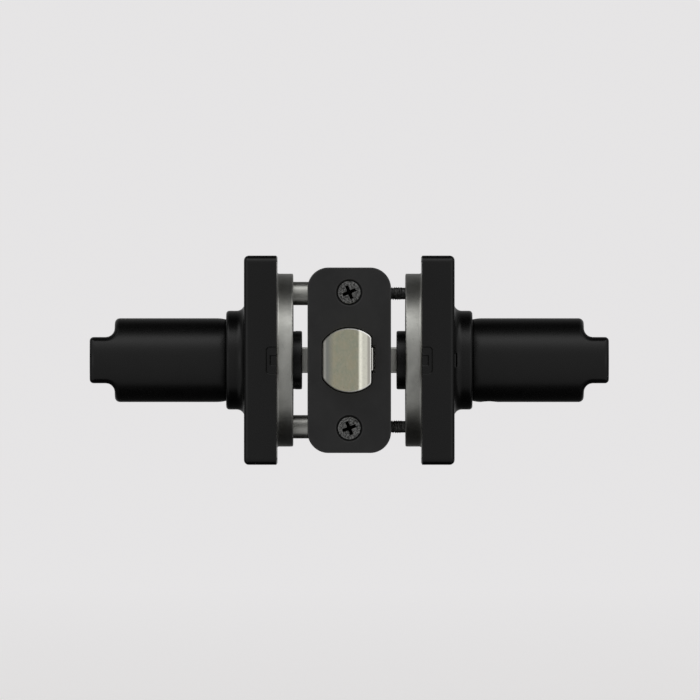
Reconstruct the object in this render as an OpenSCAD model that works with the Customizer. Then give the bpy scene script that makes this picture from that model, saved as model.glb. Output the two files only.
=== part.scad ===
// Passage lever set: a sprung lever on a square rose for each face of a door, and the tubular spring
// latch that they draw back.
// The origin is where the spindle's axis meets the middle plane of the door. +X runs along the
// spindle towards the inside of the room, -Y towards the door's edge, and +Z is up.

/* [Door] */
// Thickness of the door that the set is made for
door_t = 44.45; // [38:0.05:48]
// From the door's edge to the spindle's axis
backset = 60.325; // [60.325:0.5:70]

/* [Rose] */
// Width and height of the square rose
rose_w = 64; // [62:1:72]
// How far the front of the rose stands off the door
rose_t = 10; // [9.8:0.1:11]
// Radius of the rose's corners, seen from the front
rose_corner = 2.3; // [1:0.1:4]
// Width of the bevel round the rose's front
rose_bevel = 1.3; // [0.5:0.1:1.5]
// Radius of the round collar on the rose
collar_r = 15.2; // [14.8:0.1:17]
// How far the end of the collar stands off the door
collar_h = 15.65; // [13:0.05:18]

/* [Lever] */
// Radius of the lever's hub
hub_r = 12.9; // [12.4:0.05:13]
// How far the end of the hub stands off the door
hub_h = 49.9; // [45:0.1:55]
// How far the front of the arm stands off the door
arm_h = 57.5; // [56:0.1:62]
// Thickness of the arm, measured along the spindle
arm_t = 11; // [8:0.5:12]
// Width of the arm, up and down
arm_w = 14.2; // [10:0.1:18]
// From the spindle's axis to the tip of the arm
arm_l = 102; // [80:1:120]
// Turn of the lever that draws the bolt right back
lever_turn = 50; // [40:1:50]

/* [Latch] */
// Width of the plate in the door's edge
faceplate_w = 25.4; // [25:0.1:28]
// Height of the plate in the door's edge
faceplate_l = 56.4; // [55:0.05:60]
// Corner radius of the plate in the door's edge
faceplate_corner = 6.35; // [3:0.05:7]
// Distance between the two wood screws
wood_screw_gap = 41.3; // [40:0.1:42]
// Radius of the bolt's round sides
bolt_r = 9.77; // [9.5:0.01:9.8]
// How far the bolt stands out of the plate
bolt_throw = 12.4; // [11:0.1:12.7]
// Outer radius of the latch's tube
tube_r = 11; // [10.9:0.1:12]

/* [Spindle] */
// Width of the square spindle
spindle_w = 7.9; // [7.5:0.1:7.9]
// Width of the square holes that the spindle fits
socket_w = 8.1; // [8:0.05:8.2]

/* [Hidden] */

black_coat = [0.13, 0.13, 0.13];
zinc_plate = [0.70, 0.70, 0.68];
bolt_metal = [0.62, 0.60, 0.57];
spring_wire = [0.45, 0.45, 0.47];
dark_steel = [0.30, 0.30, 0.31];

round_fn = 96;      // facets of the drawn circles
past = 1;           // how far a cutter runs past the face that it cuts
lap = 0.01;         // how far one cutter runs into the next
face = door_t / 2;  // the door's faces stand at x = -face and x = face

// Rose and liner
rose_wall = 1.5;
rose_front_wall = 1.2;
collar_bevel = 0.9;
collar_gap = 0.3;
pry_w = 8.1;
pry_h = 3.1;
pry_deep = 0.6;
pry_slot_w = 3;
pry_slot_h = 1.9;
liner_t = 1.8;
liner_gap = 0.1;      // all round, between the liner and the rose's walls
liner_w = rose_w - 2 * (rose_wall + liner_gap);
liner_corner = rose_corner;
cavity_corner = max(rose_corner - rose_wall, 0.5);
ring_r = 26.6;        // the locating ring fits a 54 mm hole in the door
ring_wall = 1.5;
ring_deep = 5;
bushing_r = 11.3;
bushing_h = 7.3;
bearing_gap = 0.05;   // radial clearance of a turning or sliding fit
free_gap = 0.3;       // clearance between parts that pass without touching

// Return spring, its tabs and the stops
coil_r = 13;
coil_wire = 1.2;
coil_turns = 3;
coil_pitch = 1.35;
coil_gap = 0.15;      // between the coil's first turn and the liner
coil_start = face + liner_t + coil_gap + coil_wire / 2;
leg_z = 2.3;
leg_end = 18;
tab_w = 3;
anchor_in = 14.4;
anchor_out = 16;
dog_in = 16.4;
dog_out = 18;
cam_plate_r = 14.6;
cam_plate_t = 1;
cam_end_gap = 0.1;
cam_plate_x = face + bushing_h + cam_end_gap;
dog_end_gap = 0.4;    // between the cam's bent tab and the liner
spring_steps = 24;    // points in one turn of the return spring
stop_spare = 1;       // degrees between the end of the lever's turn and the stop
stop_h = 4.5;

// Lever
shank_r = 9;
shank_x = 14.5;
hub_x = face + 9;
groove_r = 8.3;
clip_t = 1.05;
clip_gap = 0.05;      // between the ring and the back of the liner
groove_spare = 0.1;   // the groove is this much wider than the ring
clip_r = 11.5;
clip_mouth = 10;
socket_x = 50;
key_in = 10.2;
key_out = 11.8;
key_w = 4;
key_deep = 1.6;
key_gap = 0.2;
spindle_end = -face - 11;
spindle_short = 2;    // from the spindle's end to the bottom of the inside socket
pin_x = -18;
pin_r = 1.25;
pin_bore_r = 0.7;
pin_slot_w = 0.4;
pin_short = 0.2;      // how far each end of the pin lies below the shank's side
set_screw_x = 43;
set_screw_r = 2;
set_screw_l = 7;
hex_r = 1.15;
hex_deep = 2.5;
clamp_gap = 0.02;     // between the set screw and the spindle

// Posts and screws through the door
post_z = 20.5;
post_r = 3.6;
post_end = 8;
post_head_r = 4.6;
post_head_h = 1;
thread_r = 2.1;
thread_end = -16;
screw_r = 2;
screw_end = -4;
screw_head_r = 3.9;
screw_head_h = 2.3;
screw_hole_gap = 0.2;
recess_l = 4.4;
recess_w = 0.9;
recess_deep = 1.2;

// Latch
edge = -backset;
faceplate_t = 1.6;
backplate_t = 1.4;
backplate_inset = 0.3;
plate_back = edge + faceplate_t + backplate_t;
wood_head_r = 3.95;
wood_head_h = 2.2;
wood_neck_r = 2.2;
wood_neck_l = faceplate_t + backplate_t + free_gap;
wood_shank_r = 2;
wood_point = 3;
wood_l = 19;
wood_gap = 0.1;
cross_turn = 25;      // turn of the wood screws' cross recess
bolt_flat_left = -8.1; // the bolt's bevelled side
bolt_flat_right = 6.7; // the bolt's straight side
bolt_nose = edge - bolt_throw;
bolt_rear = -52;
bevel_tip = 3.4;
rib_proud = 0.5;
rib_low = -3.1;
rib_high = 3.8;
bolt_gap = 0.35;
rib_gap = 0.7;
tube_wall = 0.8;
tube_end = -30;
seat_t = 2;
seat_hole_r = 2.8;
rod_r = 2.5;
rod_deep = 4;
rod_head_r = 3.3;
rod_head_h = 1;
case_in = 3.8;
case_out = 5;
case_z = 11.4;
case_front_t = 1.2;
case_rear = 14.2;
journal_r = 6.8;
journal_gap = 0.06;
journal_x = 5.4;
finger_r = 11;
finger_tip_r = 1.4;
finger_root_r = 2;
finger_x = 1.9;
fork_in = 2.3;
fork_out = 3.3;
fork_low = 7.2;
fork_high = 11.9;
fork_rear = -1;
web_front = -28;
web_rear = -26.2;
hook_sum = 1.6;       // the hooks' 45 degree faces lie on y + |z| = hook_sum
hook_overlap = 0.5;   // how far the hooks run into the fork's walls
latch_coil_r = 4;
latch_wire = 0.8;
latch_turns = 8;
latch_coil_gap = 0.05;
latch_steps = 16;     // points in one turn of the latch spring

// Points of a rounded rectangle centred on the origin
function rounded(w, h, r, n = 6) = [for (k = [0:3], i = [0:n])
    let (a = 90 * k + 90 * i / n, sx = (k == 0 || k == 3) ? 1 : -1, sy = k < 2 ? 1 : -1)
    [sx * (w / 2 - r) + r * cos(a), sy * (h / 2 - r) + r * sin(a)]];

function unit(v) = v / norm(v);

// Tube swept along a path, with its two ends closed. The coil's axis keeps its rings from twisting.
module sweep(path, r, coil_axis, sides) {
    n = len(path);
    dirs = [for (i = [0:n - 1]) unit(path[min(i + 1, n - 1)] - path[max(i - 1, 0)])];
    rings = [for (i = [0:n - 1])
        let (u = unit(cross(dirs[i], coil_axis)), v = cross(dirs[i], u))
        for (k = [0:sides - 1]) path[i] + r * (u * cos(360 * k / sides) + v * sin(360 * k / sides))];
    walls = [for (i = [0:n - 2], k = [0:sides - 1])
        let (a = i * sides + k, b = i * sides + (k + 1) % sides) each
        [[a, b, b + sides], [a, b + sides, a + sides]]];
    start = [for (k = [1:sides - 2]) [0, k + 1, k]];
    last = (n - 1) * sides;
    end = [for (k = [1:sides - 2]) [last, last + k, last + k + 1]];
    polyhedron(points = rings, faces = concat(walls, start, end));
}

// A flat outline given in (y, z), drawn out along X
module extrude_x(x0, x1) {
    translate([x0, 0, 0]) rotate([90, 0, 90]) linear_extrude(x1 - x0) children();
}

// A flat outline given in (x, z), drawn out along Y
module extrude_y(y0, y1) {
    translate([0, y1, 0]) rotate([90, 0, 0]) linear_extrude(y1 - y0) children();
}

// A round rod along X
module rod_x(x0, x1, r) {
    translate([x0, 0, 0]) rotate([0, 90, 0]) cylinder(h = x1 - x0, r = r, $fn = round_fn);
}

// A round rod along Y
module rod_y(y0, y1, r) {
    translate([0, y0, 0]) rotate([-90, 0, 0]) cylinder(h = y1 - y0, r = r, $fn = round_fn);
}

// A block between two corners
module block(low, high) {
    translate(low) cube(high - low);
}

module outside() {
    mirror([1, 0, 0]) children();
}

// Rose: a hollow square cover with a round collar, pushed over the liner. The rear edge has a
// notch on the latch side, where a screwdriver pries the rose off.
module rose() {
    front = face + rose_t;
    half = rose_w / 2;
    side_view = [[face, -half], [front - rose_bevel, -half], [front, -half + rose_bevel],
        [front, half - rose_bevel], [front - rose_bevel, half], [face, half]];
    color(black_coat) difference() {
        union() {
            intersection() {
                extrude_y(-half, half) polygon(side_view);
                translate([0, 0, -half]) linear_extrude(rose_w) polygon(side_view);
                extrude_x(face, front) polygon(rounded(rose_w, rose_w, rose_corner));
            }
            rod_x(front - past, face + collar_h - collar_bevel, collar_r);
            translate([face + collar_h - collar_bevel, 0, 0]) rotate([0, 90, 0])
                cylinder(h = collar_bevel, r1 = collar_r, r2 = collar_r - collar_bevel, $fn = round_fn);
        }
        extrude_x(face - past, front - rose_front_wall)
            polygon(rounded(rose_w - 2 * rose_wall, rose_w - 2 * rose_wall, cavity_corner));
        rod_x(face, face + collar_h + past, hub_r + collar_gap);
        block([face - past, -half - past, -pry_w / 2], [face + pry_h, -half + pry_deep, pry_w / 2]);
        block([face - past, -half - past, -pry_slot_w / 2],
            [face + pry_slot_h, -half + rose_wall + past, pry_slot_w / 2]);
    }
}

// Liner: the steel plate behind the rose. It has the ring that centres it in the door's hole, the
// bearing for the lever's shank, the spring's anchor tab and the two stops of the lever's turn.
module liner(hole_r) {
    plate_front = face + liner_t;
    half_tab = asin(tab_w / (dog_in + dog_out));
    stop_turn = lever_turn + stop_spare + 2 * half_tab;
    color(zinc_plate) difference() {
        union() {
            extrude_x(face, plate_front) polygon(rounded(liner_w, liner_w, liner_corner));
            rod_x(face - ring_deep, face + liner_t / 2, ring_r);
            rod_x(face, face + bushing_h, bushing_r);
            block([face + liner_t / 2, anchor_in, -tab_w / 2],
                [cam_plate_x - free_gap, anchor_out, tab_w / 2]);
            for (side = [-1, 1]) rotate([side * (stop_turn + half_tab), 0, 0])
                block([face + liner_t / 2, dog_in, -tab_w / 2],
                    [plate_front + stop_h, dog_out, tab_w / 2]);
        }
        rod_x(face - ring_deep - past, face, ring_r - ring_wall);
        rod_x(face - past, face + bushing_h + past, shank_r + bearing_gap);
        for (side = [-1, 1]) translate([0, 0, side * post_z])
            rod_x(face - past, plate_front + past, hole_r);
    }
}

// Return spring: a torsion coil round the bearing, whose two legs straddle the anchor tab and the
// cam's tab
module return_spring() {
    leg_y = sqrt(coil_r * coil_r - leg_z * leg_z);
    first = atan2(leg_z, leg_y);
    sweep_angle = 360 * coil_turns - 2 * first;
    steps = spring_steps * coil_turns;
    coil = [for (i = [0:steps]) let (a = first + sweep_angle * i / steps)
        [coil_start + coil_pitch * coil_turns * i / steps, coil_r * cos(a), coil_r * sin(a)]];
    coil_end = coil_start + coil_pitch * coil_turns;
    path = concat([[coil_start, leg_end, leg_z]], coil, [[coil_end, leg_end, -leg_z]]);
    color(spring_wire) sweep(path, coil_wire / 2, [1, 0, 0], 8);
}

// Return cam: the plate that the lever turns. Its keys sit in the hub and its tab winds the spring.
module return_cam() {
    rear = cam_plate_x;
    front = cam_plate_x + cam_plate_t;
    color(zinc_plate) difference() {
        union() {
            rod_x(rear, front, cam_plate_r);
            block([rear, 0, -tab_w / 2], [front, dog_out, tab_w / 2]);
            block([face + liner_t + dog_end_gap, dog_in, -tab_w / 2], [front, dog_out, tab_w / 2]);
            for (side = [-1, 1]) mirror([0, 0, side > 0 ? 1 : 0])
                block([rear, -key_w / 2, key_in], [hub_x + key_deep, key_w / 2, key_out]);
        }
        rod_x(rear - past, front + past, shank_r + bearing_gap);
    }
}

// Retaining ring: an open ring in the shank's groove, against the back of the liner
module retaining_ring() {
    front = face - clip_gap;
    color(spring_wire) difference() {
        rod_x(front - clip_t, front, clip_r);
        rod_x(front - clip_t - past, front + past, groove_r + bearing_gap);
        block([front - clip_t - past, 0, -clip_mouth / 2], [front + past, clip_r + past, clip_mouth / 2]);
    }
}

// Lever: hub, flat arm and hollow shank in one casting. At the near end of the arm the hub's round
// side runs on to the arm's front face.
module lever() {
    front = face + arm_h;
    difference() {
        union() {
            difference() {
                rod_x(hub_x, front, hub_r);
                for (side = [0, 1]) mirror([0, 0, side])
                    block([face + hub_h, -hub_r - past, arm_w / 2],
                        [front + past, hub_r + past, hub_r + past]);
            }
            block([front - arm_t, 0, -arm_w / 2], [front, arm_l, arm_w / 2]);
            rod_x(shank_x, hub_x + past, shank_r);
        }
        difference() {
            rod_x(face - clip_gap - clip_t - groove_spare, face, shank_r + past);
            rod_x(face - clip_t - 2 * past, face + past, groove_r);
        }
        block([shank_x - past, -socket_w / 2, -socket_w / 2], [socket_x, socket_w / 2, socket_w / 2]);
        for (side = [0, 1]) mirror([0, 0, side])
            block([hub_x - past, -key_w / 2 - key_gap, key_in - key_gap],
                [hub_x + key_deep + key_gap, key_w / 2 + key_gap, key_out + key_gap]);
    }
}

module outside_lever() {
    color(black_coat) difference() {
        outside() lever();
        translate([pin_x, 0, -shank_r - past])
            cylinder(h = 2 * (shank_r + past), r = pin_r + bearing_gap, $fn = round_fn);
    }
}

module inside_lever() {
    color(black_coat) difference() {
        lever();
        translate([set_screw_x, 0, -hub_r - past])
            cylinder(h = hub_r + past, r = set_screw_r + bearing_gap, $fn = round_fn);
    }
}

module outside_rose() { outside() rose(); }
module inside_rose() { rose(); }
module outside_liner() { outside() liner(post_r + bearing_gap); }
module inside_liner() { liner(screw_r + screw_hole_gap); }
module outside_return_spring() { outside() return_spring(); }
module inside_return_spring() { return_spring(); }
module outside_return_cam() { outside() return_cam(); }
module inside_return_cam() { return_cam(); }
module outside_retaining_ring() { outside() retaining_ring(); }
module inside_retaining_ring() { retaining_ring(); }

// Threaded posts, riveted in the outside liner
module outside_posts() {
    rivet_x = -face - liner_t;
    color(zinc_plate) for (side = [-1, 1]) translate([0, 0, side * post_z]) difference() {
        union() {
            rod_x(rivet_x - post_head_h / 2, post_end, post_r);
            rod_x(rivet_x - post_head_h, rivet_x, post_head_r);
        }
        rod_x(thread_end, post_end + past, thread_r);
    }
}

// Machine screws through the inside liner into the posts
module mounting_screws() {
    seat = face + liner_t;
    color(dark_steel) for (side = [-1, 1]) translate([0, 0, side * post_z]) difference() {
        union() {
            rod_x(screw_end, seat + past, screw_r);
            rod_x(seat, seat + screw_head_h, screw_head_r);
        }
        for (turn = [0, 90]) rotate([turn, 0, 0])
            block([seat + screw_head_h - recess_deep, -recess_l / 2, -recess_w / 2],
                [seat + screw_head_h + past, recess_l / 2, recess_w / 2]);
    }
}

// Square spindle, pinned in the outside lever and free to slide in the inside one
module spindle() {
    half = spindle_w / 2;
    color(zinc_plate) difference() {
        block([spindle_end, -half, -half], [socket_x - spindle_short, half, half]);
        translate([pin_x, 0, -half - past])
            cylinder(h = spindle_w + 2 * past, r = pin_r + bearing_gap, $fn = round_fn);
    }
}

// Slotted spring pin through the outside lever's shank and the spindle
module spindle_pin() {
    length = 2 * (shank_r - pin_short);
    color(spring_wire) translate([pin_x, 0, -length / 2]) difference() {
        cylinder(h = length, r = pin_r, $fn = round_fn);
        translate([0, 0, -past]) cylinder(h = length + 2 * past, r = pin_bore_r, $fn = round_fn);
        block([0, -pin_slot_w / 2, -past], [pin_r + past, pin_slot_w / 2, length + past]);
    }
}

// Hex socket screw that clamps the inside lever to the spindle from below
module inside_set_screw() {
    top = -spindle_w / 2 - clamp_gap;
    color(dark_steel) translate([set_screw_x, 0, top - set_screw_l]) difference() {
        cylinder(h = set_screw_l, r = set_screw_r, $fn = round_fn);
        translate([0, 0, -past]) cylinder(h = hex_deep + past, r = hex_r, $fn = 6);
    }
}

// The bolt's outline, in (x, z), grown all round by a clearance
module bolt_outline(gap, rib_extra) {
    intersection() {
        circle(r = bolt_r + gap, $fn = round_fn);
        translate([bolt_flat_left - gap, -2 * bolt_r])
            square([bolt_flat_right - bolt_flat_left + 2 * gap, 4 * bolt_r]);
    }
    translate([0, rib_low - rib_extra])
        square([bolt_flat_right + rib_proud + rib_extra, rib_high - rib_low + 2 * rib_extra]);
}

// A flat-head wood screw, with its head flush with the plate, or the hole for one
module wood_screw(gap) {
    translate([0, edge, 0]) rotate([-90, 0, 0]) rotate_extrude($fn = round_fn) polygon([
        [0, 0], [wood_head_r + gap, 0], [wood_neck_r + gap, wood_head_h],
        [wood_neck_r + gap, wood_neck_l], [wood_shank_r + gap, wood_neck_l],
        [wood_shank_r + gap, wood_l - wood_point], [0, wood_l + gap]]);
}

module wood_screws(gap) {
    for (side = [-1, 1]) translate([0, 0, side * wood_screw_gap / 2]) wood_screw(gap);
}

// Plate in the door's edge, with the bolt's hole and two countersunk screw holes
module latch_faceplate() {
    color(black_coat) difference() {
        extrude_y(edge, edge + faceplate_t) polygon(rounded(faceplate_w, faceplate_l, faceplate_corner));
        extrude_y(edge - past, edge + faceplate_t + past) bolt_outline(bolt_gap, rib_gap);
        wood_screws(wood_gap);
        for (side = [-1, 1]) translate([0, 0, side * wood_screw_gap / 2])
            rod_y(edge - past, edge + lap, wood_head_r + wood_gap);
    }
}

// Plate behind the faceplate, with the hole that holds the tube's end
module latch_backplate() {
    w = faceplate_w - 2 * backplate_inset;
    l = faceplate_l - 2 * backplate_inset;
    color(zinc_plate) difference() {
        extrude_y(edge + faceplate_t, plate_back) polygon(rounded(w, l, faceplate_corner));
        rod_y(edge, plate_back + past, tube_r + bearing_gap);
        wood_screws(wood_gap);
    }
}

// The wood screws have a cross recess
module faceplate_screws() {
    color(dark_steel) difference() {
        wood_screws(0);
        for (side = [-1, 1], turn = [cross_turn, cross_turn + 90])
            translate([0, 0, side * wood_screw_gap / 2]) rotate([0, -turn, 0])
                block([-recess_l / 2, edge - past, -recess_w / 2],
                    [recess_l / 2, edge + recess_deep, recess_w / 2]);
    }
}

// Tube round the bolt, fixed in the backplate
module latch_tube() {
    front = edge + faceplate_t;
    color(zinc_plate) difference() {
        rod_y(front, tube_end, tube_r);
        rod_y(front - past, tube_end + past, tube_r - tube_wall);
    }
}

// Disc that closes the tube and backs the spring
module latch_spring_seat() {
    color(zinc_plate) difference() {
        rod_y(tube_end - seat_t, tube_end, tube_r - tube_wall - bearing_gap);
        rod_y(tube_end - seat_t - past, tube_end + past, seat_hole_r);
    }
}

// Case: two side plates that carry the cam, joined at the front and rear
module latch_case() {
    color(zinc_plate) difference() {
        block([-case_out, tube_end, -case_z], [case_out, case_rear, case_z]);
        block([-case_in, tube_end + case_front_t, -case_z - past],
            [case_in, case_rear - case_front_t, case_z + past]);
        rod_y(tube_end - past, tube_end + case_front_t + past, seat_hole_r);
        rod_x(-case_out - past, case_out + past, journal_r + journal_gap);
    }
}

// Bolt: round sides, a flat on each side, a 45 degree bevel and a guide rib on the straight side
module latch_bolt() {
    reach = bevel_tip - bolt_flat_left + 2 * past;
    color(bolt_metal) difference() {
        extrude_y(bolt_nose, bolt_rear) bolt_outline(0, 0);
        translate([0, 0, -bolt_r - past]) linear_extrude(2 * (bolt_r + past))
            polygon([[bevel_tip, bolt_nose], [bevel_tip - reach, bolt_nose + reach],
                [bevel_tip - reach, bolt_nose - past], [bevel_tip, bolt_nose - past]]);
        rod_y(bolt_rear - rod_deep, bolt_rear + past, rod_r + bearing_gap);
    }
}

// Rod from the bolt to the retractor, with its end headed over
module latch_tail_rod() {
    color(zinc_plate) union() {
        rod_y(bolt_rear - rod_deep, web_rear + rod_head_h / 2, rod_r);
        rod_y(web_rear, web_rear + rod_head_h, rod_head_r);
    }
}

// Retractor: a fork above and below the cam, each with a hook that a finger pulls
module latch_retractor() {
    color(zinc_plate) difference() {
        union() {
            block([-fork_out, web_front, -fork_high], [fork_out, web_rear, fork_high]);
            for (side = [0, 1]) mirror([0, 0, side]) {
                for (wall = [0, 1]) mirror([wall, 0, 0])
                    block([fork_in, web_front, fork_low], [fork_out, fork_rear, fork_high]);
                extrude_x(-fork_in - hook_overlap, fork_in + hook_overlap) polygon([
                    [hook_sum - fork_high, fork_high], [hook_sum - fork_low, fork_low],
                    [fork_rear, fork_low], [fork_rear, fork_high]]);
            }
        }
        rod_y(web_front - past, web_rear + past, rod_r + bearing_gap);
    }
}

module latch_spring() {
    low = bolt_rear + latch_wire / 2 + latch_coil_gap;
    high = tube_end - seat_t - latch_wire / 2 - latch_coil_gap;
    steps = latch_steps * latch_turns;
    path = [for (i = [0:steps]) let (a = 360 * latch_turns * i / steps)
        [latch_coil_r * cos(a), low + (high - low) * i / steps, latch_coil_r * sin(a)]];
    color(spring_wire) sweep(path, latch_wire / 2, [0, 1, 0], 6);
}

// Cam: a hub on the spindle with a finger above and below
module latch_cam() {
    color(zinc_plate) difference() {
        union() {
            rod_x(-journal_x, journal_x, journal_r);
            for (side = [0, 1]) mirror([0, 0, side]) rotate([lever_turn, 0, 0]) {
                translate([0, 0, finger_r]) rod_x(-finger_x, finger_x, finger_tip_r);
                extrude_x(-finger_x, finger_x) polygon([[-finger_root_r, 0], [finger_root_r, 0],
                    [finger_tip_r, finger_r], [-finger_tip_r, finger_r]]);
            }
        }
        block([-journal_x - past, -socket_w / 2, -socket_w / 2],
            [journal_x + past, socket_w / 2, socket_w / 2]);
    }
}

outside_lever();
outside_rose();
outside_liner();
outside_posts();
outside_return_spring();
outside_return_cam();
outside_retaining_ring();
spindle();
spindle_pin();
inside_lever();
inside_rose();
inside_liner();
inside_return_spring();
inside_return_cam();
inside_retaining_ring();
inside_set_screw();
mounting_screws();
latch_faceplate();
latch_backplate();
faceplate_screws();
latch_tube();
latch_case();
latch_bolt();
latch_tail_rod();
latch_retractor();
latch_spring();
latch_spring_seat();
latch_cam();
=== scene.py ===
"""Passage lever set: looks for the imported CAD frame. Lengths are in metres, in the frame of the CAD model;
the shapes below are written in millimetres and scaled by MM when a mesh is made."""

import math

import bpy
import numpy as np
from mathutils import Matrix, Vector


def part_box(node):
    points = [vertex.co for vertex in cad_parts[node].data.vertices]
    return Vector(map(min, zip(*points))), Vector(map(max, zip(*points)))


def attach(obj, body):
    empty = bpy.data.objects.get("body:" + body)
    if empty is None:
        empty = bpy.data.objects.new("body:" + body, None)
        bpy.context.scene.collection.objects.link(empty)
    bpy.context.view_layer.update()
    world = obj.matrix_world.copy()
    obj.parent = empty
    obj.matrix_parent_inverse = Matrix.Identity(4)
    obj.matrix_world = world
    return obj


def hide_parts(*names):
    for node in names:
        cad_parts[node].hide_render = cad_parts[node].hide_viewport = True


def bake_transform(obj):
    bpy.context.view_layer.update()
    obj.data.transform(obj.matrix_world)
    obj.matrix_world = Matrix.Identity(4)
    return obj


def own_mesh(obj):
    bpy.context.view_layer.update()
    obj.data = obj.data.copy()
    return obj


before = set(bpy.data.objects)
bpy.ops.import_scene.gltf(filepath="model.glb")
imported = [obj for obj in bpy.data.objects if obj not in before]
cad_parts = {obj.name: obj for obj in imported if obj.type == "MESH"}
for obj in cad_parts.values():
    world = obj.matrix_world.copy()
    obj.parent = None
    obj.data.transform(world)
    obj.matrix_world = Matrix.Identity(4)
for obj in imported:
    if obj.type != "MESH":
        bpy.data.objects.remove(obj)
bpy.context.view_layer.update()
MM = 0.001


def extent(node):
    """A CAD node's lowest and highest corner in millimetres."""
    low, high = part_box(node)
    return np.array(low) / MM, np.array(high) / MM


# ---------------------------------------------------------------- sizes, in millimetres
# Places come from the CAD nodes' boxes; wall thicknesses, clearances and roundings are stated here.
ROSE_LOW, ROSE_HIGH = extent("inside_rose")
LEVER_LOW, LEVER_HIGH = extent("inside_lever")
LINER_LOW, LINER_HIGH = extent("inside_liner")
RETURN_CAM_LOW, RETURN_CAM_HIGH = extent("inside_return_cam")
CLIP_LOW, CLIP_HIGH = extent("inside_retaining_ring")
POSTS_LOW, POSTS_HIGH = extent("outside_posts")
MACHINE_LOW, MACHINE_HIGH = extent("mounting_screws")
SPINDLE_LOW, SPINDLE_HIGH = extent("spindle")
PIN_LOW, PIN_HIGH = extent("spindle_pin")
SET_SCREW_LOW, SET_SCREW_HIGH = extent("inside_set_screw")
PLATE_LOW, PLATE_HIGH = extent("latch_faceplate")
BACK_LOW, BACK_HIGH = extent("latch_backplate")
WOOD_HIGH = extent("faceplate_screws")[1]
TUBE_LOW, TUBE_HIGH = extent("latch_tube")
SEAT_LOW, SEAT_HIGH = extent("latch_spring_seat")
CASE_LOW, CASE_HIGH = extent("latch_case")
BOLT_LOW, BOLT_HIGH = extent("latch_bolt")
ROD_LOW, ROD_HIGH = extent("latch_tail_rod")
FORK_LOW, FORK_HIGH = extent("latch_retractor")
CAM_LOW, CAM_HIGH = extent("latch_cam")

FACE = ROSE_LOW[0]  # the door's face
EDGE = PLATE_LOW[1]  # the door's edge
ROSE_HALF = ROSE_HIGH[2]
ROSE_FRONT = FACE + 10.0
COLLAR_END = ROSE_HIGH[0]
COLLAR_R = 15.2
HUB_R = LEVER_HIGH[2]
HUB_START = FACE + 9.0
HUB_END = FACE + 49.9
ARM_FRONT = LEVER_HIGH[0]
ARM_BACK = ARM_FRONT - 11.0
ARM_HALF = 7.1
ARM_TIP = LEVER_HIGH[1]
SHANK_R = 9.0
SHANK_END = LEVER_LOW[0]
BORE_R = SHANK_R + 0.05
SOCKET_HALF = 4.05
TAB_HALF = 1.5
POST_HEAD_R = 4.6
POST_Z = POSTS_HIGH[2] - POST_HEAD_R
SET_SCREW_X = (SET_SCREW_LOW[0] + SET_SCREW_HIGH[0]) / 2
PIN_X = (PIN_LOW[0] + PIN_HIGH[0]) / 2
SCREW_HEAD_R = 3.95
SCREW_Z = WOOD_HIGH[2] - SCREW_HEAD_R
BOLT_R = 9.77
BOLT_FLAT_LEFT = BOLT_LOW[0]
BOLT_FLAT_RIGHT = 6.7
BOLT_NOSE = BOLT_LOW[1]
BOLT_REAR = BOLT_HIGH[1]
BEVEL_TIP = 3.4  # where the bevel meets the bolt's nose
ROD_R = 2.5
LEVER_TURN = 50


# ---------------------------------------------------------------- distance fields
def box_field(x, y, z, low, high, r):
    """Distance to a box between two corners, with its edges rounded to r."""
    q = [np.abs(p - (a + b) / 2) - (b - a) / 2 + r for p, a, b in zip((x, y, z), low, high)]
    out = np.sqrt(sum(np.maximum(d, 0) ** 2 for d in q))
    return out + np.minimum(np.maximum(np.maximum(q[0], q[1]), q[2]), 0) - r


def rectangle_field(u, v, half_u, half_v, r):
    """Distance to a flat rectangle centred on the origin, with its corners rounded to r."""
    a, b = np.abs(u) - half_u + r, np.abs(v) - half_v + r
    return np.hypot(np.maximum(a, 0), np.maximum(b, 0)) + np.minimum(np.maximum(a, b), 0) - r


def meet(a, b, r):
    """What lies in both shapes, with the edge where they meet rounded to r."""
    return np.hypot(np.maximum(r + a, 0), np.maximum(r + b, 0)) + np.minimum(np.maximum(a, b), -r)


def join(a, b, r):
    """What lies in either shape, with a hollow fillet of r where they meet."""
    return np.maximum(np.minimum(a, b), r) - np.hypot(np.maximum(r - a, 0), np.maximum(r - b, 0))


def cut(a, b, r):
    """Shape a without shape b, with the cut's edge rounded to r."""
    return meet(a, -b, r)


def slab(p, low, high):
    """Distance to the space between two parallel planes."""
    return np.abs(p - (low + high) / 2) - (high - low) / 2


def turned(u, v, degrees):
    """Coordinates u, v in axes turned by an angle."""
    c, s = math.cos(math.radians(degrees)), math.sin(math.radians(degrees))
    return c * u + s * v, c * v - s * u


GRID_MARGIN, GRID_NEAR = 0.8, 1.2


def steps(low, high, fine, coarse, marks):
    """Grid positions from low to high, fine near both ends and the marks, and coarse elsewhere."""
    at, out = low - GRID_MARGIN, []
    while at < high + GRID_MARGIN + coarse:
        out.append(at)
        close = min(abs(at + coarse / 2 - m) for m in (low, high, *marks))
        at += fine if close < GRID_NEAR + coarse / 2 else coarse
    return np.array(out)


# ---------------------------------------------------------------- meshes
def edge_bend(points, faces, normals):
    """How sharply the surface turns outwards at each point: about 0.5 / r on an edge rounded to r."""
    a, b = faces.ravel(), np.roll(faces, -1, 1).ravel()
    along = points[b] - points[a]
    bend = ((normals[b] - normals[a]) * along).sum(1) / np.maximum((along * along).sum(1), 0.01)
    total = np.bincount(a, bend, len(points)) + np.bincount(b, bend, len(points))
    count = np.bincount(a, minlength=len(points)) + np.bincount(b, minlength=len(points))
    return total / np.maximum(count, 1)


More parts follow.
